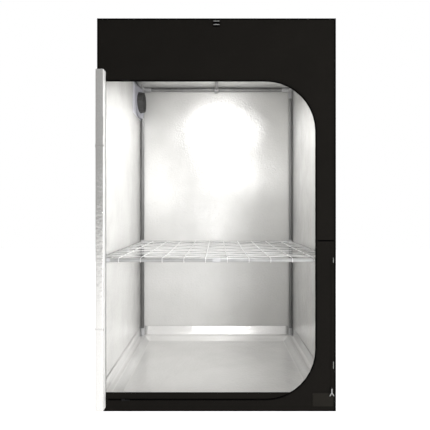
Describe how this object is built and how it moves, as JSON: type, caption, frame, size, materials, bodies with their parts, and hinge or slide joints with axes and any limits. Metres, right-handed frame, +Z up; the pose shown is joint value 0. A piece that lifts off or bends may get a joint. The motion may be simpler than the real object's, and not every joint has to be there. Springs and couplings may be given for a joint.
{
  "type": "indoor grow tent",
  "caption": "Square indoor grow tent: steel pole frame in black fabric, reflective inside, with a rolled-up front door, a sliding net shelf, a floor tray, a roof bar and a duct port.",
  "frame": {"origin": "centre of the base on the ground, the middle of the pole frame's footprint", "axes": "+Z up, the open front faces -Y, +X to the right as the front is looked at"},
  "size_m": [1.2, 1.2441, 1.976],
  "materials": {
    "painted_steel": "satin grey paint",
    "connector_plastic": "moulded, pale grey",
    "black_fabric": "black woven nylon, reflective film inside",
    "net_cord": "white braided cord",
    "reflective_lining": "silvery reflective film",
    "tie_webbing": "pale elastic webbing",
    "zip_cloth": "black zip tape and coil",
    "zip_metal": "black enamel",
    "pale_webbing": "pale webbing",
    "flange_cloth": "lavender grey cloth"
  },
  "bodies": {
    "tent": {"upright_front_left": "painted_steel", "upright_front_right": "painted_steel", "upright_back_left": "painted_steel", "upright_back_right": "painted_steel", "bottom_rail_front": "painted_steel", "bottom_rail_back": "painted_steel", "bottom_rail_left": "painted_steel", "bottom_rail_right": "painted_steel", "top_rail_front": "painted_steel", "top_rail_back": "painted_steel", "top_rail_left": "painted_steel", "top_rail_right": "painted_steel", "corner_bottom_front_left": "connector_plastic", "corner_bottom_front_right": "connector_plastic", "corner_bottom_back_left": "connector_plastic", "corner_bottom_back_right": "connector_plastic", "corner_top_front_left": "connector_plastic", "corner_top_front_right": "connector_plastic", "corner_top_back_left": "connector_plastic", "corner_top_back_right": "connector_plastic", "floor_panel": "black_fabric", "roof_panel": "black_fabric", "right_panel": "black_fabric", "back_panel": "black_fabric", "left_panel": "black_fabric", "front_panel": "black_fabric", "floor_tray": "black_fabric", "duct_flange": "flange_cloth", "duct_sleeve": "black_fabric", "door_zip_tape": "zip_cloth", "margin_zip_tape": "zip_cloth", "margin_tab_upper": "pale_webbing", "margin_tab_lower": "pale_webbing", "top_tab": "pale_webbing"},
    "net_shelf": {"net_bar_front": "painted_steel", "net_bar_back": "painted_steel", "net_bar_left": "painted_steel", "net_bar_right": "painted_steel", "net_clip_front_left": "connector_plastic", "net_clip_front_right": "connector_plastic", "net_clip_back_left": "connector_plastic", "net_clip_back_right": "connector_plastic", "net_coupler_front": "connector_plastic", "net_coupler_back": "connector_plastic", "net_coupler_left": "connector_plastic", "net_coupler_right": "connector_plastic", "net": "net_cord"},
    "roof_bar": {"roof_bar": "painted_steel", "roof_bar_hook_front": "connector_plastic", "roof_bar_hook_back": "connector_plastic"},
    "door": {"door_roll": "reflective_lining", "door_tie_upper": "tie_webbing", "door_tie_lower": "tie_webbing"},
    "zip_slider_upper": {"zip_slider_upper": "zip_metal"},
    "zip_pull_upper": {"zip_pull_upper": "zip_metal"},
    "zip_slider_lower": {"zip_slider_lower": "zip_metal"},
    "zip_pull_lower": {"zip_pull_lower": "zip_metal"},
    "margin_slider": {"margin_zip_slider": "zip_metal"},
    "margin_pull": {"margin_zip_pull": "zip_metal"}
  },
  "joints": [
    {"name": "net_height", "type": "slide", "parent": "tent", "child": "net_shelf", "axis": [0, 0, 1], "range_m": [-0.63, 0.9]},
    {"name": "roof_bar_slide", "type": "slide", "parent": "tent", "child": "roof_bar", "axis": [1, 0, 0], "range_m": [-0.45, 0.45]},
    {"name": "door_swing", "type": "hinge", "parent": "tent", "child": "door", "pos_m": [-0.556, -0.6003, 0.86], "axis": [0, 0, 1], "range_deg": [0, 80]},
    {"name": "zip_upper_slide", "type": "slide", "parent": "tent", "child": "zip_slider_upper", "axis": [1, 0, 0], "range_m": [0, 0.7]},
    {"name": "zip_lower_slide", "type": "slide", "parent": "tent", "child": "zip_slider_lower", "axis": [1, 0, 0], "range_m": [0, 0.7]},
    {"name": "margin_zip_slide", "type": "slide", "parent": "tent", "child": "margin_slider", "axis": [0, 0, 1], "range_m": [0, 0.72]},
    {"name": "zip_upper_pull", "type": "hinge", "parent": "zip_slider_upper", "child": "zip_pull_upper", "pos_m": [-0.47, -0.608, 1.6625], "axis": [0, 0, -1], "range_deg": [0, 170]},
    {"name": "zip_lower_pull", "type": "hinge", "parent": "zip_slider_lower", "child": "zip_pull_lower", "pos_m": [-0.47, -0.608, 0.0585], "axis": [0, 0, -1], "range_deg": [0, 170]},
    {"name": "margin_zip_turn", "type": "hinge", "parent": "margin_slider", "child": "margin_pull", "pos_m": [0.579, -0.608, 0.115], "axis": [-1, 0, 0], "range_deg": [0, 170]}
  ]
}
